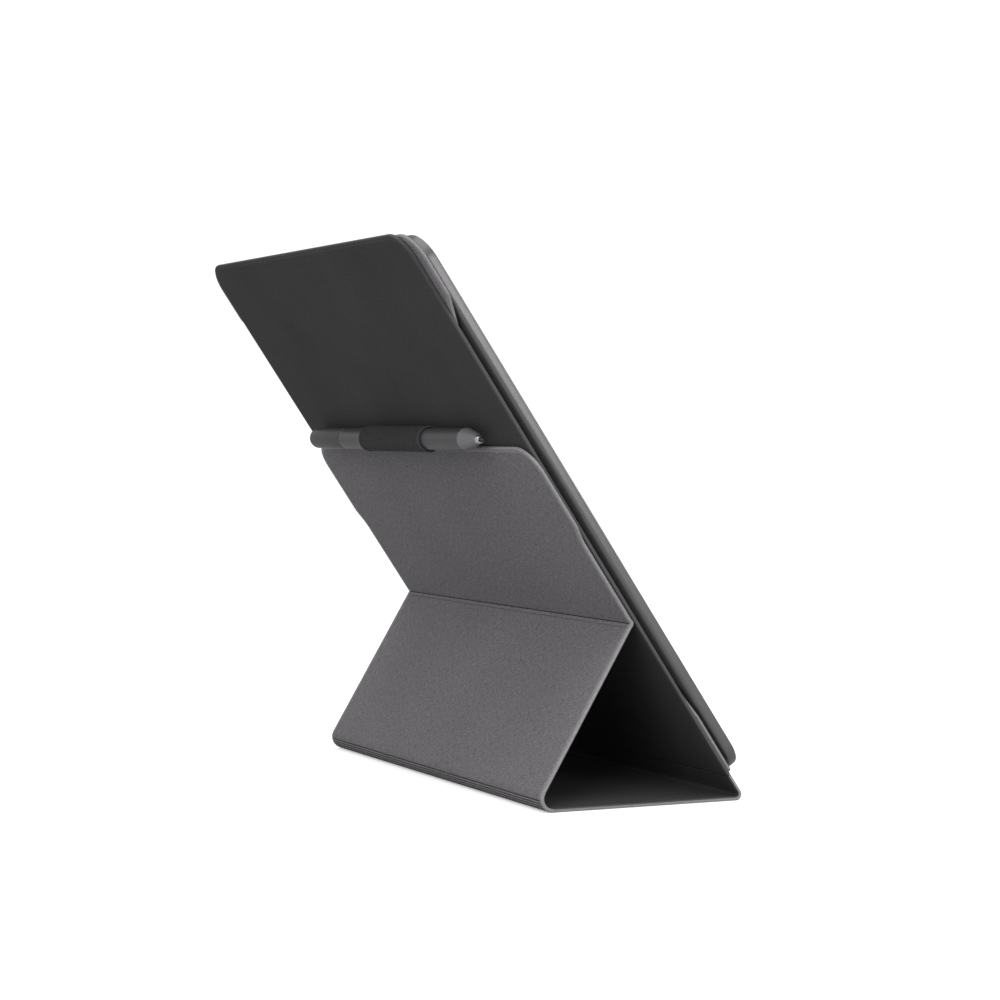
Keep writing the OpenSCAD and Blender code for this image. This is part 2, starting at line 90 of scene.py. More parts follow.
def addStudio(s):
    scene = bpy.context.scene
    scene.view_settings.view_transform = "Standard"
    world = bpy.data.worlds.new("studio")
    world.use_nodes = True
    links, room = world.node_tree.links, world.node_tree.nodes["Background"]
    room.inputs["Color"].default_value = (1, 1, 1, 1)
    seen = world.node_tree.nodes.new("ShaderNodeLightPath")
    level = world.node_tree.nodes.new("ShaderNodeMapRange")
    level.inputs["To Min"].default_value, level.inputs["To Max"].default_value = s["world"], s["backdrop"]
    links.new(seen.outputs["Is Camera Ray"], level.inputs["Value"])
    links.new(level.outputs["Result"], room.inputs["Strength"])
    scene.world = world
    half = s["floorSize"] / 2
    mesh = bpy.data.meshes.new("floor")
    mesh.from_pydata([(-half, -half, 0), (half, -half, 0), (half, half, 0), (-half, half, 0)], [], [(0, 1, 2, 3)])
    floor = bpy.data.objects.new("floor", mesh)
    floor.location.z = -0.1 * mm
    bpy.context.collection.objects.link(floor)
    white = bpy.data.materials.new("floorPaper")
    white.use_nodes = True
    paper, links = white.node_tree.nodes["Principled BSDF"], white.node_tree.links
    seen = white.node_tree.nodes.new("ShaderNodeLightPath")
    tone = white.node_tree.nodes.new("ShaderNodeMix")
    tone.data_type = "RGBA"
    tone.inputs[6].default_value = (s["floorBounce"],) * 3 + (1,)
    tone.inputs[7].default_value = (s["floorWhite"],) * 3 + (1,)
    links.new(seen.outputs["Is Camera Ray"], tone.inputs[0])
    links.new(tone.outputs[2], paper.inputs["Base Color"])
    lift = white.node_tree.nodes.new("ShaderNodeMapRange")
    lift.inputs["To Max"].default_value = s["floorLift"]
    links.new(seen.outputs["Is Camera Ray"], lift.inputs["Value"])
    paper.inputs["Emission Color"].default_value = (1, 1, 1, 1)
    links.new(lift.outputs["Result"], paper.inputs["Emission Strength"])
    paper.inputs["Roughness"].default_value = 0.9
    paper.inputs["Specular IOR Level"].default_value = 0.0
    mesh.materials.append(white)
    for name, (place, aim, size, watts) in s["softboxes"].items():
        light = bpy.data.lights.new(name, "AREA")
        light.shape, light.size, light.energy = "SQUARE", size, watts
        lamp = bpy.data.objects.new(name, light)
        lamp.location = place
        lamp.rotation_euler = (Vector(aim) - Vector(place)).to_track_quat("-Z", "Y").to_euler()
        bpy.context.collection.objects.link(lamp)


addCamera(viewpoint)
addStudio(studio)
print("camera and studio ready")

# Shader groups that several finishes share


def newGroup(name, inputs, outputs):
    group = bpy.data.node_groups.new(name, "ShaderNodeTree")
    for label, kind, value in inputs:
        socket = group.interface.new_socket(name=label, in_out="INPUT", socket_type=kind)
        if value is not None:
            socket.default_value = value
    for label, kind in outputs:
        group.interface.new_socket(name=label, in_out="OUTPUT", socket_type=kind)
    return group, group.nodes.new("NodeGroupInput"), group.nodes.new("NodeGroupOutput")


def math2(tree, operation, a, b=None, c=None, clamp=False):
    node = tree.nodes.new("ShaderNodeMath")
    node.operation, node.use_clamp = operation, clamp
    for socket, value in zip(node.inputs, (a, b, c)):
        if isinstance(value, (int, float)):
            socket.default_value = value
        elif value is not None:
            tree.links.new(value, socket)
    return node.outputs[0]


def noise(tree, vector, scale, detail=2.0, roughness=0.5, stretch=None):
    if stretch:
        scaled = tree.nodes.new("ShaderNodeVectorMath")
        scaled.operation = "MULTIPLY"
        tree.links.new(vector, scaled.inputs[0])
        scaled.inputs[1].default_value = stretch
        vector = scaled.outputs[0]
    node = tree.nodes.new("ShaderNodeTexNoise")
    tree.links.new(vector, node.inputs["Vector"])
    if isinstance(scale, (int, float)):
        node.inputs["Scale"].default_value = scale
    else:
        tree.links.new(scale, node.inputs["Scale"])
    node.inputs["Detail"].default_value, node.inputs["Roughness"].default_value = detail, roughness
    return node.outputs["Fac"]


def makeWeaveGroup():
    # Plain weave: one thread over, one under, each thread thick or thin and light or dark along its run
    tree, given, made = newGroup(
        "plainWeave",
        [("Vector", "NodeSocketVector", None), ("Threads", "NodeSocketFloat", 2200.0),
         ("Slub", "NodeSocketFloat", 0.5)],
        [("Height", "NodeSocketFloat"), ("Fleck", "NodeSocketFloat")],
    )
    split = tree.nodes.new("ShaderNodeSeparateXYZ")
    tree.links.new(given.outputs["Vector"], split.inputs[0])
    across = math2(tree, "MULTIPLY", split.outputs["X"], given.outputs["Threads"])
    along = math2(tree, "MULTIPLY", split.outputs["Y"], given.outputs["Threads"])
    square = math2(tree, "ADD", math2(tree, "FLOOR", across), math2(tree, "FLOOR", along))
    over = math2(tree, "PINGPONG", square, 1.0)
    roundWeft = math2(tree, "ABSOLUTE", math2(tree, "SINE", math2(tree, "MULTIPLY", along, math.pi)))
    roundWarp = math2(tree, "ABSOLUTE", math2(tree, "SINE", math2(tree, "MULTIPLY", across, math.pi)))
    slubWeft = noise(tree, given.outputs["Vector"], 1.0, 2.0, 0.6, (420, 2400, 1))
    slubWarp = noise(tree, given.outputs["Vector"], 1.0, 2.0, 0.6, (2400, 420, 1))

    def pick(weft, warp):
        down = math2(tree, "MULTIPLY", warp, math2(tree, "SUBTRACT", 1.0, over))
        return math2(tree, "ADD", math2(tree, "MULTIPLY", weft, over), down)

    slub = pick(slubWeft, slubWarp)
    uneven = math2(tree, "SUBTRACT", slub, 0.5)
    thick = math2(tree, "MULTIPLY_ADD", uneven, given.outputs["Slub"], pick(roundWeft, roundWarp))
    tree.links.new(thick, made.inputs["Height"])
    tree.links.new(slub, made.inputs["Fleck"])
    return tree


def makeNapGroup():
    # Short brushed fibres with soft finger-wide patches where the pile leans the other way
    tree, given, made = newGroup(
        "brushedNap",
        [("Vector", "NodeSocketVector", None), ("Patch", "NodeSocketFloat", 28.0)],
        [("Height", "NodeSocketFloat"), ("Lean", "NodeSocketFloat")],
    )
    fibres = noise(tree, given.outputs["Vector"], 1.0, 3.0, 0.7, (5200, 3600, 1))
    patches = noise(tree, given.outputs["Vector"], given.outputs["Patch"], 2.0, 0.5)
    fine = noise(tree, given.outputs["Vector"], 900.0, 2.0, 0.6)
    lean = math2(tree, "MULTIPLY_ADD", fine, 0.45, math2(tree, "MULTIPLY", patches, 0.55))
    tree.links.new(math2(tree, "MULTIPLY_ADD", fine, 0.6, fibres), made.inputs["Height"])
    tree.links.new(lean, made.inputs["Lean"])
    return tree


def makeFinishGroup():
    # Grain of a hard surface, and the slow change of gloss that handling leaves
    tree, given, made = newGroup(
        "handledSurface",
        [("Vector", "NodeSocketVector", None), ("Grain", "NodeSocketFloat", 3000.0),
         ("Smudge", "NodeSocketFloat", 45.0)],
        [("Height", "NodeSocketFloat"), ("Handled", "NodeSocketFloat"), ("Speck", "NodeSocketFloat")],
    )
    grain = noise(tree, given.outputs["Vector"], given.outputs["Grain"], 3.0, 0.6)
    smudge = noise(tree, given.outputs["Vector"], given.outputs["Smudge"], 4.0, 0.65)
    speck = noise(tree, given.outputs["Vector"], math2(tree, "MULTIPLY", given.outputs["Grain"], 0.35), 1.0, 0.5)
    tree.links.new(grain, made.inputs["Height"])
    tree.links.new(smudge, made.inputs["Handled"])
    tree.links.new(speck, made.inputs["Speck"])
    return tree


weaveGroup, napGroup, finishGroup = makeWeaveGroup(), makeNapGroup(), makeFinishGroup()

# Finishes


def newMaterial(name):
    material = bpy.data.materials.new(name)
    material.use_nodes = True
    return material, material.node_tree, material.node_tree.nodes["Principled BSDF"]


def ramp(tree, value, low, high, darkest, lightest):
    node = tree.nodes.new("ShaderNodeValToRGB")
    node.color_ramp.elements[0].position, node.color_ramp.elements[1].position = low, high
    node.color_ramp.elements[0].color = (*darkest, 1)
    node.color_ramp.elements[1].color = (*lightest, 1)
    tree.links.new(value, node.inputs["Fac"])
    return node.outputs["Color"]


def mixColour(tree, blend, share, a, b):
    node = tree.nodes.new("ShaderNodeMix")
    node.data_type, node.blend_type = "RGBA", blend
    for socket, value in ((node.inputs[0], share), (node.inputs[6], a), (node.inputs[7], b)):
        if isinstance(value, (int, float)):
            socket.default_value = value
        elif isinstance(value, tuple):
            socket.default_value = (*value, 1)
        else:
            tree.links.new(value, socket)
    return node.outputs[2]


def bump(tree, shader, height, strength, distance):
    node = tree.nodes.new("ShaderNodeBump")
    node.inputs["Strength"].default_value, node.inputs["Distance"].default_value = strength, distance
    tree.links.new(height, node.inputs["Height"])
    tree.links.new(node.outputs[0], shader.inputs["Normal"])


def useGroup(tree, group, vector, **values):
    node = tree.nodes.new("ShaderNodeGroup")
    node.node_tree = group
    tree.links.new(vector, node.inputs["Vector"])
    for label, value in values.items():
        node.inputs[label].default_value = value
    return node


def span(tree, value, low, high):
    node = tree.nodes.new("ShaderNodeMapRange")
    node.inputs["From Min"].default_value, node.inputs["From Max"].default_value = 0.3, 0.7
    node.inputs["To Min"].default_value, node.inputs["To Max"].default_value = low, high
    tree.links.new(value, node.inputs["Value"])
    return node.outputs["Result"]


def clothMaterial(name, dark, light, wearAndHighlightShare, threads, depth):
    # dark and light: the two yarns; the third value: how much paler the edges are made, partly by real wear and partly
    # by painted highlight where edges catch the light
    material, tree, shader = newMaterial(name)
    uv = tree.nodes.new("ShaderNodeUVMap")
    uv.uv_map = "weave"
    weave = useGroup(tree, weaveGroup, uv.outputs[0], Threads=threads, Slub=0.7)
    nap = useGroup(tree, napGroup, uv.outputs[0], Patch=18.0)
    heather = ramp(tree, weave.outputs["Fleck"], 0.33, 0.67, dark, light)
    shade = ramp(tree, nap.outputs["Lean"], 0.35, 0.65, (0.93,) * 3, (1.07,) * 3)
    yarn = mixColour(tree, "MULTIPLY", 1.0, heather, shade)
    # Painted shade darkens the hollows between the threads
    threadHollowShade = ramp(tree, weave.outputs["Height"], 0.15, 0.75, (0.72,) * 3, (1.06,) * 3)
    cloth = mixColour(tree, "MULTIPLY", 0.8, yarn, threadHollowShade)
    # Edges made paler by real wear and by painted highlight along edges and pressed lines
    wearAndHighlight = tree.nodes.new("ShaderNodeAttribute")
    wearAndHighlight.attribute_name = "wearAndHighlight"
    patchy = math2(tree, "MULTIPLY", wearAndHighlight.outputs["Fac"], span(tree, nap.outputs["Lean"], 0.6, 1.0))
    pale = tuple(min(1, 2.1 * c) for c in light)
    lifted = mixColour(tree, "MIX", math2(tree, "MULTIPLY", patchy, wearAndHighlightShare), cloth, pale)
    # Painted shade: darkens fold grooves, creases and the turned-away band of the wide fold
    pressed = tree.nodes.new("ShaderNodeAttribute")
    pressed.attribute_name = "pressed"
    withPaintedShade = mixColour(tree, "MULTIPLY", pressed.outputs["Fac"], lifted, (0.22, 0.22, 0.22))
    tree.links.new(withPaintedShade, shader.inputs["Base Color"])
    tree.links.new(span(tree, weave.outputs["Fleck"], 0.94, 0.78), shader.inputs["Roughness"])
    shader.inputs["Specular IOR Level"].default_value = 0.15
    shader.inputs["Sheen Weight"].default_value = 0.04
    shader.inputs["Sheen Roughness"].default_value = 0.5
    bump(tree, shader, weave.outputs["Height"], 0.55, depth)
    return material


def liningMaterial(name, dark, light):
    material, tree, shader = newMaterial(name)
    uv = tree.nodes.new("ShaderNodeUVMap")
    uv.uv_map = "weave"
    nap = useGroup(tree, napGroup, uv.outputs[0], Patch=26.0)
    pile = ramp(tree, nap.outputs["Lean"], 0.3, 0.7, dark, light)
    fibre = ramp(tree, nap.outputs["Height"], 0.55, 1.05, (0.86,) * 3, (1.1,) * 3)
    cloth = mixColour(tree, "MULTIPLY", 0.7, pile, fibre)
    wearAndHighlight = tree.nodes.new("ShaderNodeAttribute")
    # Painted highlight: the lining's edge and inset line are lightened where they catch the light
    wearAndHighlight.attribute_name = "wearAndHighlight"
    wearAndHighlightShare = math2(tree, "MULTIPLY", wearAndHighlight.outputs["Fac"], 0.4)
    edge = mixColour(tree, "MIX", wearAndHighlightShare, cloth, tuple(3 * c for c in light))
    tree.links.new(edge, shader.inputs["Base Color"])
    tree.links.new(span(tree, nap.outputs["Lean"], 0.97, 0.84), shader.inputs["Roughness"])
    shader.inputs["Specular IOR Level"].default_value = 0.1
    shader.inputs["Sheen Weight"].default_value = 0.02
    shader.inputs["Sheen Roughness"].default_value = 0.6
    bump(tree, shader, nap.outputs["Height"], 0.4, 0.00006)
    return material


def hardMaterial(name, colour, gloss=0.5, metallic=0.0, grain=3000.0, smudge=45.0, spread=0.1, depth=0.00002,
                 strength=0.25, gap=0.08, alpha=None, coat=None, specular=0.5):
    # gap: how far the darkest and lightest tones lie from colour; spread: how far the gloss wanders
    material, tree, shader = newMaterial(name)
    place = tree.nodes.new("ShaderNodeTexCoord")
    finish = useGroup(tree, finishGroup, place.outputs["Object"], Grain=grain, Smudge=smudge)
    tone = ramp(tree, finish.outputs["Handled"], 0.3, 0.7, tuple(c * (1 - gap) for c in colour),
                tuple(min(1, c * (1 + gap)) for c in colour))
    speck = ramp(tree, finish.outputs["Speck"], 0.35, 0.65, (1 - gap / 2,) * 3, (1 + gap / 2,) * 3)
    tree.links.new(mixColour(tree, "MULTIPLY", 1.0, tone, speck), shader.inputs["Base Color"])
    roughness = span(tree, finish.outputs["Handled"], gloss - spread / 2, gloss + spread / 2)
    tree.links.new(roughness, shader.inputs["Roughness"])
    shader.inputs["Metallic"].default_value = metallic
    shader.inputs["Specular IOR Level"].default_value = specular
    if alpha is not None:
        shader.inputs["Alpha"].default_value = alpha
    if coat is not None:
        shader.inputs["Coat Weight"].default_value, shader.inputs["Coat Roughness"].default_value = coat
    bump(tree, shader, finish.outputs["Height"], strength, depth)
    return material


def etchedGlass(name, colour, rough):
    # Clear to the light that falls through it, so that what lies below is lit
    material, tree, shader = newMaterial(name)
    place = tree.nodes.new("ShaderNodeTexCoord")
    finish = useGroup(tree, finishGroup, place.outputs["Object"], Grain=9000.0, Smudge=20.0)
    shader.inputs["Base Color"].default_value = (*colour, 1)
    shader.inputs["Transmission Weight"].default_value = 1.0
    shader.inputs["IOR"].default_value = 1.45
    tree.links.new(span(tree, finish.outputs["Handled"], rough - 0.03, rough + 0.03), shader.inputs["Roughness"])
    bump(tree, shader, finish.outputs["Height"], 0.08, 0.00001)
    output = tree.nodes["Material Output"]
    clear = tree.nodes.new("ShaderNodeBsdfTransparent")
    clear.inputs["Color"].default_value = (0.96, 0.97, 0.97, 1)
    mix = tree.nodes.new("ShaderNodeMixShader")
    path = tree.nodes.new("ShaderNodeLightPath")
    tree.links.new(path.outputs["Is Shadow Ray"], mix.inputs["Fac"])
    tree.links.new(shader.outputs[0], mix.inputs[1])
    tree.links.new(clear.outputs[0], mix.inputs[2])
    tree.links.new(mix.outputs[0], output.inputs["Surface"])
    return material


finishes = {
    "case_cloth": clothMaterial("heatherCloth", (0.1, 0.095, 0.101), (0.23, 0.221, 0.231), 0.42, 2300.0, 0.00009),
    "case_lining": liningMaterial("microfibre", (0.036, 0.036, 0.037), (0.046, 0.046, 0.047)),
    "case_board": hardMaterial("greyBoard", (0.38, 0.35, 0.3), 0.85, grain=1500.0, gap=0.15),
    "loop_cloth": clothMaterial("loopWebbing", (0.018, 0.018, 0.019), (0.031, 0.031, 0.033), 0.7, 1700.0, 0.00012),
    "magnet": hardMaterial("nickelPlate", (0.62, 0.61, 0.6), 0.28, 1.0, smudge=300.0, spread=0.14),
    "housing_metal": hardMaterial("blastedMetal", (0.15, 0.147, 0.15), 0.34, 0.85, grain=5200.0, smudge=30.0,
                                  spread=0.08, depth=0.000012, gap=0.04),
    "frame_plastic": hardMaterial("frameMoulding", (0.1, 0.1, 0.11), 0.55),
    "cover_glass": etchedGlass("etchedCover", (0.97, 0.98, 0.98), 0.2),
    "seal": hardMaterial("foamTape", (0.02, 0.02, 0.02), 0.9, grain=2500.0, depth=0.00008),
    "mask": hardMaterial("borderPrint", (0.022, 0.022, 0.024), 0.4, grain=6000.0),
    "light_guide": etchedGlass("guideSheet", (0.98, 0.99, 0.99), 0.08),
    "paper_screen": hardMaterial("paperScreen", (0.63, 0.63, 0.6), 0.8, grain=7000.0, smudge=14.0, gap=0.03,
                                 depth=0.00001),
    "digitizer": hardMaterial("sensorSheet", (0.05, 0.1, 0.07), 0.5),
    "ribbon": hardMaterial("amberRibbon", (0.5, 0.27, 0.06), 0.35, smudge=200.0),
    "cell": hardMaterial("foilPouch", (0.55, 0.56, 0.58), 0.38, 0.9, grain=900.0, smudge=60.0, spread=0.2,
                         depth=0.00008),
    "circuit_board": hardMaterial("solderMask", (0.015, 0.1, 0.05), 0.35, grain=700.0, smudge=240.0, gap=0.2),
    "steel": hardMaterial("stampedSteel", (0.58, 0.58, 0.6), 0.32, 1.0, smudge=260.0, spread=0.16),
    "foot_rubber": hardMaterial("footRubber", (0.025, 0.025, 0.025), 0.8, grain=2600.0, depth=0.00004),
    "pen_shell": hardMaterial("softTouch", (0.047, 0.048, 0.051), 0.42, grain=4800.0, smudge=60.0, spread=0.1,
                              depth=0.000015, gap=0.06, specular=0.4),
    "pen_tip": hardMaterial("satinTip", (0.148, 0.15, 0.155), 0.38, grain=4800.0, smudge=90.0, gap=0.04,
                            depth=0.00001),
    "pen_metal": hardMaterial("turnedRing", (0.6, 0.6, 0.61), 0.26, 1.0, grain=3000.0, smudge=500.0, spread=0.1),
    "pen_nib": hardMaterial("nibPlastic", (0.02, 0.02, 0.02), 0.45, grain=6000.0, smudge=900.0),
    "copper": hardMaterial("wireWinding", (0.6, 0.24, 0.08), 0.3, 0.9, grain=4000.0, smudge=900.0),
}
print("finishes: %d" % len(finishes))

slotOf = {part["node"]: part["material_slot"] for part in frame["record"]["subparts"]}
for name, node in frame["nodes"].items():
    node.data.materials.clear()
    node.data.materials.append(finishes[slotOf[name]])

# The case, laid out as one strip and folded; lengths in millimetres

case = {
    "tilt": 55.6,  # of the back panel from the table
    "width": 199.0,
    "wideWidth": 204.0,  # at the flap's free end
    "thick": 1.4,
    "baseLength": 88.0,  # from floor corner to floor corner
    "backLength": 245.0,
    "backCorner": 11.0,
    "spine": 12.0,
    "strutAt": 82.0,  # along the back panel, where the strut leans
    "flapEnd": 157.6,
    "flapCorner": 11.0,
    "flapStep": (117.6, 123.7),  # where the flap grows wider
    "flapDepth": -3.1,  # of the flap's cloth face below the back panel's
    "wideFold": 5.0,
    "spineFold": 2.2,
    "creaseRadius": 0.35,
    # angle round the fold, depth and painted shade of each groove
    "foldGrooves": ((189, 0.35, 0.9), (201, 0.2, 0.7), (213, 0.2, 0.7), (225, 0.4, 1), (238, 0.4, 1)),
    "foldPaintedShade": (186, 242, 0.35),  # painted shade on the band that the grooves lie in, where the fold turns away from the light
    "panelGap": 0.4,
    "strutGap": 1.1,
    "flapGap": 0.7,
}

tilt = math.radians(case["tilt"])
up, out = Vector((-math.cos(tilt), 0, math.sin(tilt))), Vector((math.sin(tilt), 0, math.cos(tilt)))
floorCorner = Vector((case["baseLength"] / 2, 0, 0))
hingeLine = Vector((-case["baseLength"] / 2, 0, 0))
crease = floorCorner + case["strutAt"] * up + case["flapDepth"] * out
strutRun = crease - hingeLine
strutLength = strutRun.length
strutUp = strutRun.normalized()
strutIn = Vector((strutUp.z, 0, -strutUp.x))
strutAngle = math.atan2(strutUp.z, strutUp.x)
wideTangent = case["wideFold"] / math.tan(strutAngle / 2)
spineTangent = case["spineFold"] / math.tan(tilt / 2)
baseStart, baseEnd = -case["baseLength"] / 2 + wideTangent, case["baseLength"] / 2 - spineTangent

# Depth runs from the cloth face, 0, to the lining face, thick
onBase = lambda s, depth: Vector((s, 0, depth))
onBack = lambda s, depth: floorCorner + s * up - depth * out
onStrut = lambda s, depth: hingeLine + s * strutUp + depth * strutIn
onFlap = lambda s, depth: floorCorner + s * up + (case["flapDepth"] + depth) * out
onPlate = lambda s, depth: floorCorner + s * up + depth * out

# Where the cut strip of cloth lies at each panel's own zero, so that the weave runs on over the folds
strutZero = -(baseStart - case["wideFold"] * (math.pi - strutAngle)) - wideTangent
backZero = baseEnd + case["spineFold"] * (math.pi - tilt) - spineTangent

# One side of a panel's edge: inset from the edge, depth, where it lies on the cut cloth, and how much paler it is
# made, by real wear and by painted highlight on the edge and the pressed line
clothEdge = [
    (2.2, 0, 2.2, 0), (1.95, 0, 1.95, 0), (1.8, 0.06, 1.8, 0.2), (1.62, 0.1, 1.62, 0.9), (1.42, 0.06, 1.42, 1),
    (1.22, 0.02, 1.22, 0.5), (0.6, 0.02, 0.6, 0.5), (0.3, 0.07, 0.3, 0.8), (0.1, 0.22, 0.05, 1), (0, 0.45, -0.2, 1),
    (0, 1.05, -0.8, 0.9),
]
wallFrom = 7  # the ring of clothEdge where the edge turns down
clothTurnIn = [(0.5, 1.05, -1.3, 0), (0.5, 0.4, -1.95, 0)]
# The lining's edge, in the same columns; its paling is painted highlight where the edge catches the light
liningEdge = [
    (0, 1.05, -0.8, 0.5), (0, 1.16, -0.7, 0.7), (0.07, 1.31, -0.5, 1), (0.25, 1.4, -0.3, 0.5), (1.2, 1.38, 1.2, 0.1),
    (1.38, 1.33, 1.38, 0.7), (1.5, 1.27, 1.5, 1), (1.62, 1.32, 1.62, 0.3), (1.8, 1.4, 1.8, 0), (2.2, 1.4, 2.2, 0),
]


def turnOutward(mesh):
    work = bmesh.new()
    work.from_mesh(mesh)
    bmesh.ops.recalc_face_normals(work, faces=work.faces)
    work.to_mesh(mesh)
    work.free()


def finishMesh(name, points, faces, cutAt, wearAndHighlight, materials, faceMaterials=None, sharp=38, pressed=None):
    mesh = bpy.data.meshes.new(name)
    mesh.from_pydata([p * mm for p in points], [], faces)
    mesh.update()
    uv = mesh.uv_layers.new(name="weave")
    # Per-point paling for wear and painted highlight, and painted shade
    for label, values in (("wearAndHighlight", wearAndHighlight), ("pressed", pressed or [0.0] * len(points))):
        mesh.attributes.new(label, "FLOAT", "POINT").data.foreach_set("value", values)
    for loop in mesh.loops:
        uv.data[loop.index].uv = [c * mm for c in cutAt[loop.vertex_index]]
    for material in materials:
        mesh.materials.append(material)
    if faceMaterials:
        mesh.polygons.foreach_set("material_index", faceMaterials)
    turnOutward(mesh)
    mesh.polygons.foreach_set("use_smooth", [True] * len(mesh.polygons))
    mesh.set_sharp_from_angle(angle=math.radians(sharp))
    piece = bpy.data.objects.new(name, mesh)
    bpy.context.collection.objects.link(piece)
    return piece


def rounded(corners, step=7.5):
    # corners: (y, s, radius); a corner with a radius becomes an arc
    line = []
    for i, (y, s, radius) in enumerate(corners):
        here = Vector((y, s))
        if not radius:
            line.append(here)
            continue
        before, after = (Vector(corners[(i + k) % len(corners)][:2]) for k in (-1, 1))
        a, b = (before - here).normalized(), (after - here).normalized()
        half = a.angle(b) / 2
        centre = here + (a + b).normalized() * radius / math.sin(half)
        start, stop = here + a * radius / math.tan(half) - centre, here + b * radius / math.tan(half) - centre
        turn = start.angle_signed(stop)
        count = max(3, round(math.degrees(abs(turn)) / step))
        for k in range(count + 1):
            line.append(centre + Matrix.Rotation(-turn * k / count, 2) @ start)
    return line


def insetLine(line, inset, isClosed):
    moved = []
    for i, here in enumerate(line):
        if isClosed or 0 < i < len(line) - 1:
            a = (here - line[i - 1]).normalized()
            b = (line[(i + 1) % len(line)] - here).normalized()
        else:
            a = b = (line[1] - line[0] if i == 0 else line[-1] - line[-2]).normalized()
        sideways = Vector((-a.y - b.y, a.x + b.x))
        moved.append(here + sideways * 2 * inset / sideways.length_squared)
    return moved


def leafPiece(name, line, isClosed, place, edge, zero, materials, thick=1.0, wrapFrom=None):
    # A flat panel: rings round its edge, a flat face inside the first and the last ring
    points, cutAt, wearAndHighlight, faces, faceMaterials = [], [], [], [], []
    count = len(line)
    for inset, depth, cut, edgeWearAndHighlight in edge:
        for (y, s), (u, v) in zip(insetLine(line, inset, isClosed), insetLine(line, cut, isClosed)):
            p = place(s, depth * thick)
            points.append(Vector((p.x, y, p.z)))
            cutAt.append((u, zero + v))
            wearAndHighlight.append(edgeWearAndHighlight)
    for ring in range(len(edge) - 1):
        for i in range(count if isClosed else count - 1):
            a, b = ring * count + i, ring * count + (i + 1) % count
            faces.append((a, b, b + count, a + count))
            faceMaterials.append(1 if wrapFrom is not None and ring >= wrapFrom else 0)
    last = (len(edge) - 1) * count
    faces += [tuple(range(count)), tuple(range(last, last + count))]
    if not isClosed:
        starts = [k * count for k in range(len(edge))]
        faces.append(tuple(starts + [k + count - 1 for k in reversed(starts)]))
    faceMaterials += [0] * (len(faces) - len(faceMaterials))
    return finishMesh(name, points, faces, cutAt, wearAndHighlight, materials, faceMaterials)


def stripPiece(name, stations, edge, materials, liningFrom=None):
    # A strip of constant width: its section is carried through the stations, each of them
    # (place, cut position, groove, squeeze, painted shade)
    half = case["width"] / 2
    section = [(1, *e) for e in edge] + [(-1, *e) for e in reversed(edge)]
    points, cutAt, wearAndHighlight, pressed, faces, faceMaterials = [], [], [], [], [], []
    for place, cut, groove, squeeze, shade in stations:
        for side, inset, depth, unrolled, edgeWearAndHighlight in section:
            # Grooves sink, and painted shade darkens, only the cloth face
            onCloth = depth < 0.12
            share = 0 if not onCloth else 1 if inset > 1.7 else 0.3
            p = place(depth * squeeze + groove * share)
            points.append(Vector((p.x, side * (half - inset), p.z)))
            cutAt.append((side * (half - unrolled), cut))
            wearAndHighlight.append(edgeWearAndHighlight)
            pressed.append(shade * share)
    n = len(section)
    for k in range(len(stations) - 1):
        for i in range(n):
            a, b = k * n + i, k * n + (i + 1) % n
            faces.append((a, b, b + n, a + n))
            isLining = liningFrom is not None and liningFrom <= i < n - 1 - liningFrom
            faceMaterials.append(1 if isLining else 0)
    faces += [tuple(range(n)), tuple(range((len(stations) - 1) * n, len(stations) * n))]
    faceMaterials += [0, 0]
    return finishMesh(name, points, faces, cutAt, wearAndHighlight, materials, faceMaterials, pressed=pressed)


def flatStations(place, start, stop, zero, sign=1, lines=()):
    # lines: (where, depth, painted shade) of lines pressed across the panel
    marks = [(start, 0, 0), (stop, 0, 0)]
    for at, depth, shade in lines:
        marks += [(at + side * away, depth * share, shade * share)
                  for side in (-1, 1) for away, share in ((0.3, 0), (0.12, 0.8))] + [(at, depth, shade)]
    return [((lambda depth, s=s: place(s, depth)), zero + sign * s, groove, 1, shade)
            for s, groove, shade in sorted(marks)]


def roundStations(centre, radius, first, last, zero, grooves=(), steps=40, band=(0, 0, 0)):
    # The outer radius is the cloth side; grooves: (angle, depth, painted shade); band: (from, to, painted shade)
    reach = 4.0
    marks = [first + (last - first) * k / steps for k in range(steps + 1)]
    for at, depth, shade in grooves:
        marks = [m for m in marks if abs(m - at) > reach + 0.3] + [at + reach * k / 3 for k in range(-3, 4)]
    made = []
    for angle in sorted(marks, reverse=last < first):
        a = math.radians(angle)
        share = [min(1, 1.7 * max(0, 1 - abs(angle - at) / reach)) for at, depth, shade in grooves]
        groove = sum(g[1] * k for g, k in zip(grooves, share))
        shade = max([band[2] if band[0] < angle < band[1] else 0] + [g[2] * k for g, k in zip(grooves, share)])
        ray = Vector((math.cos(a), 0, math.sin(a)))
        arc = radius * math.radians(abs(angle - first))
        made.append(((lambda depth, ray=ray: centre + (radius - depth) * ray), zero + arc, groove, 1, shade))
    return made


cloth, lining = finishes["case_cloth"], finishes["case_lining"]
clothTray = clothEdge + clothTurnIn
foldEdge = clothEdge + liningEdge[1:]
foldLining = len(clothEdge) + 1


def addPanel(node, body, pieces):
    # Hides the panel's CAD cloth and lining and attaches the new pieces to the body
    for piece, part in zip(pieces, ("fabric", "lining")):
        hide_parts(f"{node}_{part}")
        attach(piece, body)


halfWidth, halfWide = case["width"] / 2, case["wideWidth"] / 2

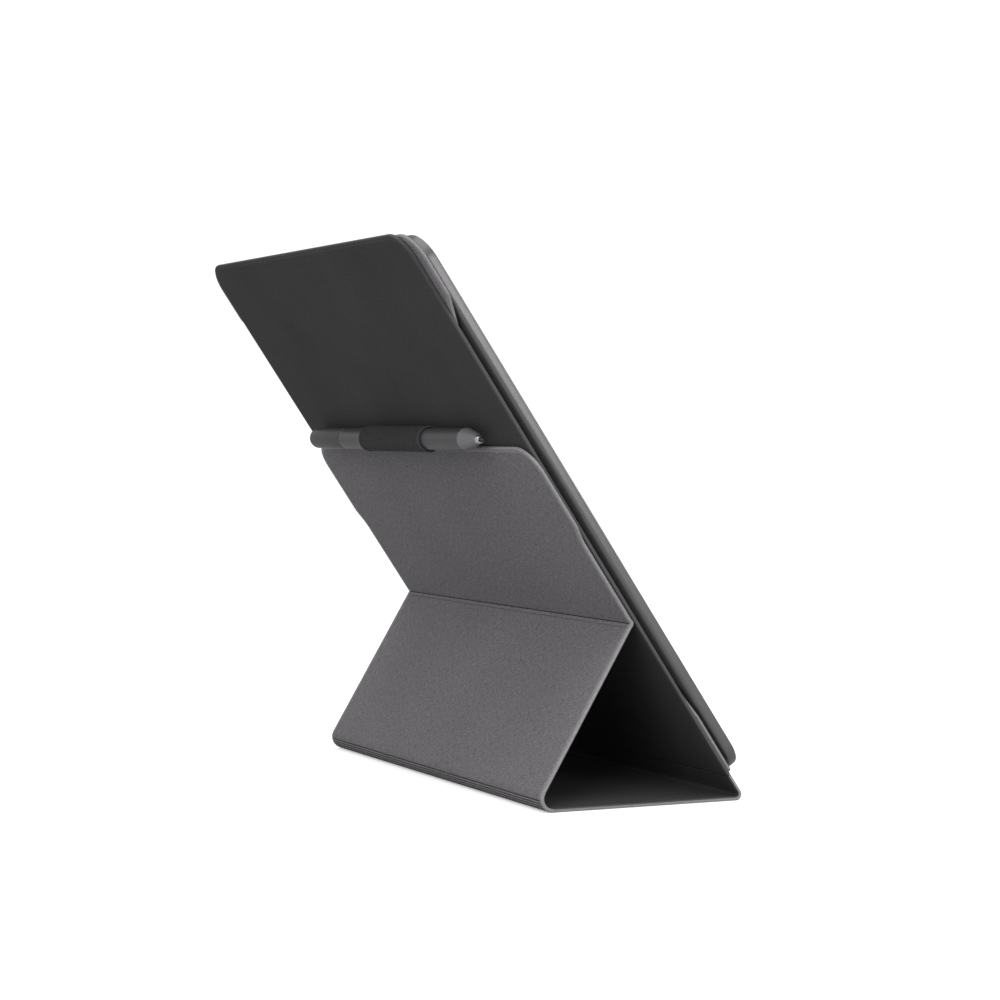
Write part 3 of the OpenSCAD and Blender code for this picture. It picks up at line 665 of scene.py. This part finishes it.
# Flat strips
baseStations = flatStations(onBase, baseStart, baseEnd, 0)
addPanel("base", "base", [
    stripPiece("base_skin", baseStations, clothTray, [cloth]),
    stripPiece("base_microfibre", baseStations, liningEdge, [lining]),
])
spineStations = flatStations(onBack, spineTangent, case["spine"] - case["panelGap"], backZero)
addPanel("spine", "spine", [
    stripPiece("spine_skin", spineStations, clothTray, [cloth]),
    stripPiece("spine_microfibre", spineStations, liningEdge, [lining]),
])
strutEnd = strutLength - case["strutGap"]
# The pressed line below the crease is darkened by painted shade
strutStations = flatStations(onStrut, wideTangent, strutEnd, strutZero, lines=((strutEnd - 0.5, 0.08, 0.5),))
addPanel("strut", "strut", [
    stripPiece("strut_skin", strutStations, clothTray, [cloth]),
    stripPiece("strut_microfibre", flatStations(onStrut, wideTangent, strutEnd, strutZero), liningEdge, [lining]),
])

# Panels with rounded free corners, drawn from one lower corner over the top to the other
backLine = rounded([
    (halfWidth, case["spine"] + case["panelGap"], 0), (halfWidth, case["backLength"], case["backCorner"]),
    (-halfWidth, case["backLength"], case["backCorner"]), (-halfWidth, case["spine"] + case["panelGap"], 0),
])
flapSide = [(halfWidth, case["strutAt"] + case["flapGap"], 0), (halfWidth, case["flapStep"][0], 7),
            (halfWide, case["flapStep"][1], 7), (halfWide, case["flapEnd"], case["flapCorner"])]
flapLine = rounded(flapSide + [(-y, s, r) for y, s, r in reversed(flapSide)])
flapZero = strutZero + strutLength - case["strutAt"]
# The back panel's lining goes round its edge; the flap's stays inside the cloth
for node, line, place, zero, wrap, flat in (
    ("back", backLine, onBack, backZero, wallFrom, (case["width"], case["backLength"] - case["spine"])),
    ("flap", flapLine, onFlap, flapZero, None, (case["wideWidth"], case["flapEnd"] - case["strutAt"])),
):
    addPanel(node, node, [
        leafPiece(f"{node}_skin", line, False, place, clothTray, zero, [cloth, lining], wrapFrom=wrap),
        leafPiece(f"{node}_microfibre", line, False, place, liningEdge, zero, [lining]),
    ])

# The mounting plate, wide at both ends and narrow between
plate = {
    "thick": 1.1, "start": 12.6, "stop": 243.7, "end": 25.0, "jog": 15.0, "foot": 99.3, "waist": 95.0, "top": 105.0,
    "corner": 11.0, "fillet": 3.0,
}
low, high = plate["start"] + plate["end"], plate["stop"] - plate["end"]
plateSide = [
    (plate["foot"], plate["start"], 1.5), (plate["foot"], low, plate["fillet"]),
    (plate["waist"], low + plate["jog"], plate["fillet"]), (plate["waist"], high - plate["jog"], plate["fillet"]),
    (plate["top"], high, plate["fillet"]), (plate["top"], plate["stop"], plate["corner"]),
]
plateLine = rounded(plateSide + [(-y, s, r) for y, s, r in reversed(plateSide)])
plateShare = plate["thick"] / case["thick"]
addPanel("plate", "back", [
    leafPiece("plate_skin", plateLine, True, onPlate, clothTray, 0, [cloth], plateShare),
    leafPiece("plate_microfibre", plateLine, True, onPlate, liningEdge, 0, [lining], plateShare),
])
print("case panels folded")

# Folds
wideCentre = Vector((baseStart, 0, case["wideFold"]))
spineCentre = Vector((baseEnd, 0, case["spineFold"]))
wideFirst = 90 + math.degrees(strutAngle)


def addFold(piece, node, a, b, start, end):
    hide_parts(node)
    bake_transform(piece)


def between(a, b, share):
    return a + (b - a) * share


wideStations = roundStations(wideCentre, case["wideFold"], wideFirst, 270, 0, case["foldGrooves"],
                             band=case["foldPaintedShade"])
wideStations = [(place, strutZero + wideTangent - cut, *rest) for place, cut, *rest in wideStations]
wideFoldPiece = stripPiece("wide_fold", wideStations, foldEdge, [cloth, lining], foldLining)
wideEnds = [between(onBase(baseStart, 0), onStrut(wideTangent, 0), share) for share in (0.14, 0.86)]
addFold(wideFoldPiece, "hinge_base", "base", "strut", *wideEnds)

# Two grooves, darkened by painted shade
spineFoldStations = roundStations(spineCentre, case["spineFold"], -90, 90 - case["tilt"], baseEnd,
                                   ((-20, 0.12, 0.3), (-48, 0.12, 0.3)), 24)
spineFoldPiece = stripPiece("spine_fold_cloth", spineFoldStations, foldEdge, [cloth, lining], foldLining)
low, high = onBase(baseEnd, 0), onBack(spineTangent, 0)
addFold(spineFoldPiece, "hinge_spine_low", "base", "spine", between(low, high, 0.32), between(low, high, 0.68))

gap = case["panelGap"]
# The crease between spine and back panel, darkened by painted shade
upperStations = [
    ((lambda depth, s=s: onBack(s, depth)), backZero + s, groove, squeeze, shade)
    for s, groove, squeeze, shade in (
        (case["spine"] - gap, 0, 1, 0), (case["spine"] - 0.25, 0.02, 0.7, 0.1), (case["spine"], 0.12, 0.6, 0.6),
        (case["spine"] + 0.25, 0.02, 0.7, 0.1), (case["spine"] + gap, 0, 1, 0),
    )
]
upperPiece = stripPiece("upper_spine_cloth", upperStations, foldEdge, [cloth, lining], foldLining)
addFold(upperPiece, "hinge_spine_high", "spine", "back", onBack(case["spine"] - gap, 0),
        onBack(case["spine"] + gap, 0))

# The crease closes on its cloth side and rounds its lining side
turnAngle = strutIn.angle(out)
outward = (strutIn + out).normalized()
creaseCentre = crease - outward * case["creaseRadius"] / math.cos(turnAngle / 2)
creaseStations = [((lambda depth: onStrut(strutEnd, depth)), strutZero + strutEnd, 0, 1, 0)]
for k in range(9):
    ray = (strutIn * (8 - k) / 8 + out * k / 8).normalized()
    # Painted shade darkens the crease, most at its middle
    sunk = 0.3 * min(1, 1.5 * (1 - abs(k - 4) / 4))
    creaseStations.append(((lambda depth, ray=ray: creaseCentre + (case["creaseRadius"] + depth) * ray),
                           strutZero + strutLength - 0.2 + 0.05 * k, sunk, 1, 3.2 * sunk))
flapStart = case["strutAt"] + case["flapGap"]
creaseStations.append(((lambda depth: onFlap(flapStart, depth)), flapZero + flapStart, 0, 1, 0.25))
creasePiece = stripPiece("flap_crease", creaseStations, foldEdge, [cloth, lining], foldLining)
addFold(creasePiece, "hinge_flap", "strut", "flap", onStrut(strutEnd, 0), onFlap(flapStart, 0))


def makeRibTree():
    # Parallel ribs laid round a bend; lengths in metres, angles in degrees
    tree = bpy.data.node_groups.new("foldRibs", "GeometryNodeTree")
    for label, kind in (
        ("Count", "NodeSocketInt"), ("Rib Radius", "NodeSocketFloat"), ("Bend Radius", "NodeSocketFloat"),
        ("First Angle", "NodeSocketFloat"), ("Step", "NodeSocketFloat"), ("Length", "NodeSocketFloat"),
        ("Finish", "NodeSocketMaterial"),
    ):
        tree.interface.new_socket(name=label, in_out="INPUT", socket_type=kind)
    tree.interface.new_socket(name="Geometry", in_out="OUTPUT", socket_type="NodeSocketGeometry")
    given, made = tree.nodes.new("NodeGroupInput"), tree.nodes.new("NodeGroupOutput")
    line = tree.nodes.new("GeometryNodeMeshLine")
    tree.links.new(given.outputs["Count"], line.inputs["Count"])
    index = tree.nodes.new("GeometryNodeInputIndex").outputs[0]
    degrees = math2(tree, "MULTIPLY_ADD", index, given.outputs["Step"], given.outputs["First Angle"])
    angle = math2(tree, "RADIANS", degrees)
    spot = tree.nodes.new("ShaderNodeCombineXYZ")
    for axis, turn in (("X", "COSINE"), ("Z", "SINE")):
        reach = math2(tree, "MULTIPLY", math2(tree, turn, angle), given.outputs["Bend Radius"])
        tree.links.new(reach, spot.inputs[axis])
    spread = tree.nodes.new("GeometryNodeSetPosition")
    tree.links.new(line.outputs["Mesh"], spread.inputs["Geometry"])
    tree.links.new(spot.outputs[0], spread.inputs["Position"])
    rod = tree.nodes.new("GeometryNodeMeshCylinder")
    rod.inputs["Vertices"].default_value = 16
    tree.links.new(given.outputs["Rib Radius"], rod.inputs["Radius"])
    tree.links.new(given.outputs["Length"], rod.inputs["Depth"])
    ribs = tree.nodes.new("GeometryNodeInstanceOnPoints")
    tree.links.new(spread.outputs["Geometry"], ribs.inputs["Points"])
    tree.links.new(rod.outputs["Mesh"], ribs.inputs["Instance"])
    ribs.inputs["Rotation"].default_value = (math.pi / 2, 0, 0)
    real = tree.nodes.new("GeometryNodeRealizeInstances")
    tree.links.new(ribs.outputs["Instances"], real.inputs["Geometry"])
    coat = tree.nodes.new("GeometryNodeSetMaterial")
    tree.links.new(real.outputs["Geometry"], coat.inputs["Geometry"])
    tree.links.new(given.outputs["Finish"], coat.inputs["Material"])
    tree.links.new(coat.outputs["Geometry"], made.inputs["Geometry"])
    return tree


# short: what the ribs' length lacks of the case's width; sunk: how deep their middles lie
ribs = {"count": 4, "radius": 0.25, "sunk": 0.19, "first": 195.0, "step": 12.2, "short": 3.9}
ribTree = makeRibTree()
holder = bpy.data.objects.new("ribHolder", bpy.data.meshes.new("ribHolder"))
bpy.context.collection.objects.link(holder)
modifier = holder.modifiers.new("ribs", "NODES")
modifier.node_group = ribTree
ribValues = {
    "Count": ribs["count"], "Rib Radius": ribs["radius"] * mm, "First Angle": ribs["first"], "Step": ribs["step"],
    "Bend Radius": (case["wideFold"] - ribs["sunk"]) * mm, "Length": (case["width"] - ribs["short"]) * mm,
    "Finish": cloth,
}
for socket in ribTree.interface.items_tree:
    if socket.in_out == "INPUT":
        modifier[socket.identifier] = ribValues[socket.name]
ribMesh = bpy.data.meshes.new_from_object(holder.evaluated_get(bpy.context.evaluated_depsgraph_get()))
bpy.data.objects.remove(holder)
ribPoints = [v.co / mm + wideCentre for v in ribMesh.vertices]
ribCut = []
for p in ribPoints:
    turn = math.atan2(p.z - wideCentre.z, p.x - wideCentre.x) % (2 * math.pi) - math.radians(wideFirst)
    ribCut.append((p.y, strutZero + wideTangent - case["wideFold"] * turn))
# The ribs are made paler halfway: painted highlight along their ridges
ribPiece = finishMesh("wide_fold_ribs", ribPoints, [tuple(f.vertices) for f in ribMesh.polygons], ribCut,
                      [0.5] * len(ribPoints), [cloth])
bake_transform(ribPiece)
print("folds made")

# The pen

pen = {
    "along": 164.0, "depth": -6.9, "middle": 0.95,  # of the axis: up the back panel, off it, along the folds
    "radius": 4.15, "length": 162.8, "bore": 3.3,
    "capAt": -46.55, "capGap": 0.6, "coneAt": 67.35, "coneEnd": 76.95, "tip": 1.75,
    "ringEnd": 79.2, "ringRadius": 1.6, "nibRadius": 0.8,
    "buttonAt": 49.0, "buttonLength": 14.0, "buttonWidth": 3.0,
}
penMiddle = floorCorner + pen["along"] * up + pen["depth"] * out + Vector((0, pen["middle"], 0))
nibWard = Vector((0, -1, 0))


def turned(name, profile, material, node=None, segments=96, sharp=35, wearAndHighlightWithin=0):
    # profile: (distance from the pen's middle towards the nib, radius), closed when it ends off the axis
    # the last argument: how far from either end the cloth is made paler, by real wear and by painted highlight on the
    # hem rims
    points, cutAt, faces = [], [], []
    rings = []
    for z, r in profile:
        if r < 1e-6:
            rings.append([len(points)])
            points.append(penMiddle + nibWard * z)
            cutAt.append((0, z))
            continue
        rings.append(list(range(len(points), len(points) + segments)))
        for k in range(segments):
            a = 2 * math.pi * k / segments
            points.append(penMiddle + nibWard * z + out * (r * math.cos(a)) + up * (r * math.sin(a)))
            cutAt.append((4.2 * a, z))
    closesRound = len(rings[0]) > 1
    for k in range(len(rings) if closesRound else len(rings) - 1):
        a, b = rings[k], rings[(k + 1) % len(rings)]
        for i in range(segments):
            j = (i + 1) % segments
            if len(a) == 1:
                faces.append((a[0], b[i], b[j]))
            elif len(b) == 1:
                faces.append((a[i], a[j], b[0]))
            else:
                faces.append((a[i], a[j], b[j], b[i]))
    ends = (max(z for z, _ in profile), min(z for z, _ in profile))
    wearAndHighlight = [1.0 if min(abs(v - end) for end in ends) < wearAndHighlightWithin else 0.0 for _, v in cutAt]
    piece = finishMesh(name, points, faces, cutAt, wearAndHighlight, [material], sharp=sharp)
    if node:
        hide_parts(node)
    return piece


def cutSlot(piece, length, width):
    # Opening for the side button, through the wall that faces the back panel
    points, outline = [], []
    for end in (1, -1):
        for k in range(13):
            a = math.pi * (k / 12 - 0.5)
            outline.append((end * ((length - width) / 2 + width / 2 * math.cos(a)), end * width / 2 * math.sin(a)))
    for depth in (2.0, 6.0):  # from inside the bore to outside the wall
        points += [(penMiddle + nibWard * (pen["buttonAt"] + z) + up * x + out * depth) * mm for z, x in outline]
    n = len(outline)
    faces = [(i, (i + 1) % n, (i + 1) % n + n, i + n) for i in range(n)]
    faces += [tuple(range(n)), tuple(range(n, 2 * n))]
    mesh = bpy.data.meshes.new("slotCutter")
    mesh.from_pydata(points, [], faces)
    turnOutward(mesh)
    cutter = bpy.data.objects.new("slotCutter", mesh)
    bpy.context.collection.objects.link(cutter)
    modifier = piece.modifiers.new("slot", "BOOLEAN")
    modifier.object, modifier.operation, modifier.solver = cutter, "DIFFERENCE", "EXACT"
    cut = bpy.data.meshes.new_from_object(piece.evaluated_get(bpy.context.evaluated_depsgraph_get()))
    piece.modifiers.clear()
    piece.data = cut
    bpy.data.objects.remove(cutter)


r = pen["radius"]
barrel = turned("pen_shaft", [
    (pen["capAt"], r - 0.25), (pen["capAt"] + 0.08, r - 0.08), (pen["capAt"] + 0.28, r), (pen["coneAt"] - 0.12, r),
    (pen["coneAt"], r - 0.12), (pen["coneAt"], pen["bore"]), (pen["capAt"], pen["bore"]),
], finishes["pen_shell"], "pen_barrel")
cutSlot(barrel, pen["buttonLength"] + 0.4, pen["buttonWidth"] + 0.4)
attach(barrel, "pen")

# A lighter ring in the joint between cap and barrel: painted highlight in place of the light caught by the cap's
# chamfer
highlightFrom, highlightTo = pen["capAt"] + 0.3, pen["capAt"] + 0.7
jointHighlight = turned("pen_joint_highlight_ring", [
    (highlightFrom, r - 0.3), (highlightFrom, r + 0.02), (highlightTo, r + 0.02), (highlightTo, r - 0.3),
], finishes["pen_tip"])
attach(jointHighlight, "pen")

coneSteps = 20
coneLine = []
for k in range(coneSteps + 1):
    share = k / coneSteps
    coneLine.append((pen["coneAt"] + (pen["coneEnd"] - pen["coneAt"]) * share,
                     pen["tip"] + (r - pen["tip"]) * (1 - share) * (1 + 0.35 * share)))
cone = turned("pen_point", [(pen["coneAt"], pen["bore"]), (pen["coneAt"], r - 0.1), (pen["coneAt"] + 0.12, r)]
              + coneLine[1:] + [(pen["coneEnd"], 1.05), (pen["coneAt"] + 5, 1.05)], finishes["pen_tip"], "pen_cone")
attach(cone, "pen")

ring = turned("pen_ring", [
    (pen["coneEnd"], 1.05), (pen["coneEnd"], pen["ringRadius"]), (pen["coneEnd"] + 0.9, pen["ringRadius"]),
    (pen["ringEnd"] - 0.5, 1.52),
    (pen["ringEnd"] - 0.1, 1.4), (pen["ringEnd"], 1.25), (pen["ringEnd"], 1.05),
], finishes["pen_metal"], "pen_ferrule")
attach(ring, "pen")

tipAt = pen["length"] / 2
nibRound = pen["nibRadius"]
nibLine = [(50, 0), (50, nibRound)]
for degree in range(0, 90, 10):
    a = math.radians(degree)
    nibLine.append((tipAt - nibRound + nibRound * math.sin(a), nibRound * math.cos(a)))
nib = turned("pen_writing_tip", nibLine + [(tipAt, 0)], finishes["pen_nib"], "pen_nib", 48)
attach(nib, "nib")

capFront = pen["capAt"] - pen["capGap"]
capBack = -pen["length"] / 2
capLine = [(capBack, 0)]
for degree in range(6, 91, 6):
    a = math.radians(degree)
    capLine.append((capBack + r - r * math.cos(a), r * math.sin(a)))
cap = turned("pen_cap", capLine + [
    (capFront - 0.28, r), (capFront - 0.08, r - 0.08), (capFront, r - 0.25), (capFront, 2.6), (capFront + 8, 2.6),
    (capFront + 8, 0),
], finishes["pen_shell"], "pen_end_cap")
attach(cap, "end_cap")
print("pen turned")

# Sleeve round the pen, with a rolled hem at both mouths
loop = {"far": 24.6, "near": -34.0, "inner": 4.22, "outer": 5.0, "tongueFrom": -24, "tongueTo": 18}
toPen = lambda y: pen["middle"] - y  # world y to distance towards the nib
near, far = toPen(loop["near"]), toPen(loop["far"])
thick = loop["outer"] - loop["inner"]
mouth = [
    (0, 0.1), (-0.1, 0.3), (-0.08, 0.55), (0.05, 0.74), (0.35, 0.8), (1.5, 0.78), (2.1, 0.7), (2.3, 0.62), (2.6, 0.68),
    (3.4, 0.66),
]
sleeveLine = [(far + 0.1 + z, loop["inner"] + h * thick / 0.8) for z, h in mouth]
sleeveLine += [(near - 0.1 - z, loop["inner"] + h * thick / 0.8) for z, h in reversed(mouth)]
sleeveLine += [(near - 0.3, loop["inner"]), (far + 0.3, loop["inner"])]
# Painted highlight on the hem rims at both mouths, with some real wear
sleeve = turned("pen_sleeve", sleeveLine, finishes["loop_cloth"], "pen_loop", sharp=50, wearAndHighlightWithin=0.6)
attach(sleeve, "flap")

points, cutAt, faces = [], [], []
# Where the tongue lies up the back panel, and its two faces' distances from it
tongueDepth = [
    (157.62, -2.6, -1.8), (158.6, -2.6, -1.8), (160, -2.6, -1.82), (161.5, -2.62, -1.9), (163, -2.66, -1.98),
    (164.2, -2.66, -2.1),
]
for s, a, b in tongueDepth:
    side, other = loop["tongueFrom"], loop["tongueTo"]
    for y, h in ((side, a), (side, b), (other, b), (other, a)):
        p = floorCorner + s * up + h * out
        points.append(Vector((p.x, y, p.z)))
        cutAt.append((y, s))
for k in range(len(tongueDepth) - 1):
    for i in range(4):
        faces.append((4 * k + i, 4 * k + (i + 1) % 4, 4 * k + 4 + (i + 1) % 4, 4 * k + 4 + i))
faces += [(0, 1, 2, 3), tuple(4 * (len(tongueDepth) - 1) + i for i in range(4))]
tongue = finishMesh("pen_sleeve_tongue", points, faces, cutAt, [0.0] * len(points), [finishes["loop_cloth"]])
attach(tongue, "flap")
print("pen sleeve made")

# The tablet


def smoothCopy(node, name, body, sharp=30):
    # The same shape with its loose triangles joined, so that its round edges shade smoothly
    mesh = frame["nodes"][node].data.copy()
    work = bmesh.new()
    work.from_mesh(mesh)
    bmesh.ops.remove_doubles(work, verts=work.verts, dist=1e-6)
    bmesh.ops.dissolve_limit(work, angle_limit=math.radians(0.4), verts=work.verts, edges=work.edges)
    work.to_mesh(mesh)
    work.free()
    mesh.polygons.foreach_set("use_smooth", [True] * len(mesh.polygons))
    mesh.set_sharp_from_angle(angle=math.radians(sharp))
    piece = bpy.data.objects.new(name, mesh)
    bpy.context.collection.objects.link(piece)
    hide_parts(node)
    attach(piece, body)
    return piece


smoothCopy("back_housing", "tablet_shell", "tablet")
smoothCopy("power_button", "power_key", "power_button")
smoothCopy("pen_side_button", "pen_side_key", "side_button")
smoothCopy("usb_c_port", "charging_sleeve", "tablet")
print("tablet shell smoothed")
